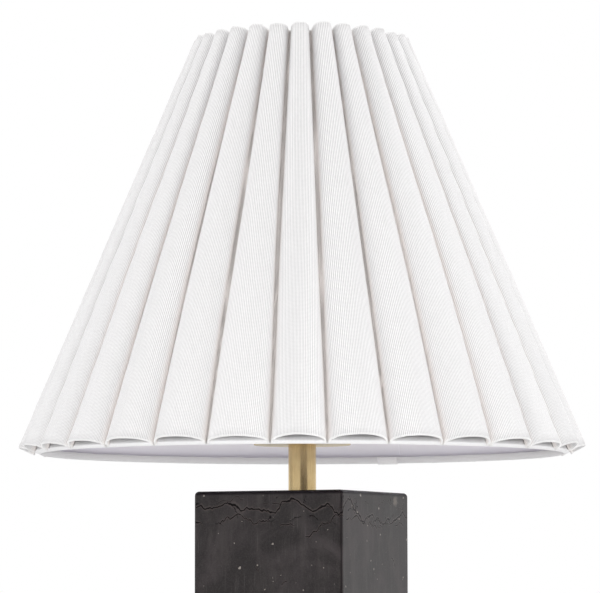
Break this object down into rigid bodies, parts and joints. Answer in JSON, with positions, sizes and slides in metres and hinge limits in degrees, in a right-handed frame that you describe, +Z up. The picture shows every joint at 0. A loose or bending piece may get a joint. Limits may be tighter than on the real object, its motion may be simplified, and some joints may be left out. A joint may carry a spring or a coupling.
{
  "type": "table lamp",
  "caption": "Table lamp with a square black stone column, a brass neck and a wide conical shade of white linen in rounded pleats, carried on a wire harp.",
  "frame": {"origin": "middle of the felt pad's underside, where the lamp stands", "axes": "+Z up along the lamp's axis, -Y towards the switch knob, +Y towards the cord inlet, +X to the right seen from the knob's side"},
  "size_m": [0.4054, 0.4072, 0.6391],
  "materials": {
    "felt": "napped",
    "black_stone": "honed",
    "black_plastic": "moulded",
    "zinc_steel": "zinc plated",
    "brass": "satin antique",
    "harp_brass": "plated",
    "fibre": "pressed",
    "phenolic": "moulded",
    "screw_shell_metal": "bright",
    "bulb_metal": "bright",
    "bulb_contact_metal": "tinned",
    "bulb_insulator_black": "glossy",
    "bulb_white": "satin",
    "bulb_opal": "frosted",
    "white_wire": "coated",
    "lining_white": "laminated",
    "binding_tape": "woven",
    "linen": "ribbed linen"
  },
  "bodies": {
    "base": {"felt_pad": "felt", "stone_column": "black_stone", "cord_bushing": "black_plastic", "base_washer": "zinc_steel", "base_lock_washer": "zinc_steel", "base_nut": "zinc_steel", "threaded_tube": "zinc_steel", "neck_tube": "brass", "lower_centring_ring": "black_plastic", "upper_centring_ring": "black_plastic", "neck_disc": "brass", "harp_saddle": "harp_brass", "saddle_nut": "brass", "harp": "harp_brass", "socket_cap": "brass", "cap_set_screw": "zinc_steel", "socket_shell": "brass", "insulating_sleeve": "fibre", "socket_body": "phenolic", "terminal_screws": "harp_brass", "screw_shell": "screw_shell_metal", "centre_contact": "harp_brass"},
    "left_sleeve": {"harp_sleeve_left": "harp_brass"},
    "right_sleeve": {"harp_sleeve_right": "harp_brass"},
    "shade": {"harp_stud": "brass", "spider_hub": "harp_brass", "bottom_ring": "white_wire", "top_ring": "white_wire", "spider_arm_1": "harp_brass", "spider_arm_2": "harp_brass", "spider_arm_3": "harp_brass", "shade_lining": "lining_white", "lining_seam": "lining_white", "bottom_binding": "binding_tape", "top_binding": "binding_tape", "binding_lap": "binding_tape", "pleated_cover": "linen"},
    "finial": {"finial": "brass"},
    "switch": {"switch_shaft": "harp_brass", "switch_knob": "black_plastic"},
    "bulb": {"bulb_contact": "bulb_contact_metal", "bulb_insulator": "bulb_insulator_black", "bulb_cap": "bulb_metal", "bulb_body": "bulb_white", "bulb_dome": "bulb_opal"}
  },
  "joints": [
    {"name": "shade_turn", "type": "hinge", "parent": "base", "child": "shade", "pos_m": [0, 0, 0.6126], "axis": [0, 0, 1], "continuous": true},
    {"name": "finial_turn", "type": "hinge", "parent": "shade", "child": "finial", "pos_m": [0, 0, 0.6197], "axis": [0, 0, 1], "continuous": true},
    {"name": "switch_turn", "type": "hinge", "parent": "base", "child": "switch", "pos_m": [0, -0.0154, 0.3796], "axis": [0, -1, 0], "continuous": true},
    {"name": "bulb_turn", "type": "hinge", "parent": "base", "child": "bulb", "pos_m": [0, 0, 0.3871], "axis": [0, 0, 1], "continuous": true},
    {"name": "left_sleeve_lift", "type": "slide", "parent": "base", "child": "left_sleeve", "axis": [0, 0, 1], "range_m": [0, 0.014]},
    {"name": "right_sleeve_lift", "type": "slide", "parent": "base", "child": "right_sleeve", "axis": [0, 0, 1], "range_m": [0, 0.014]}
  ]
}
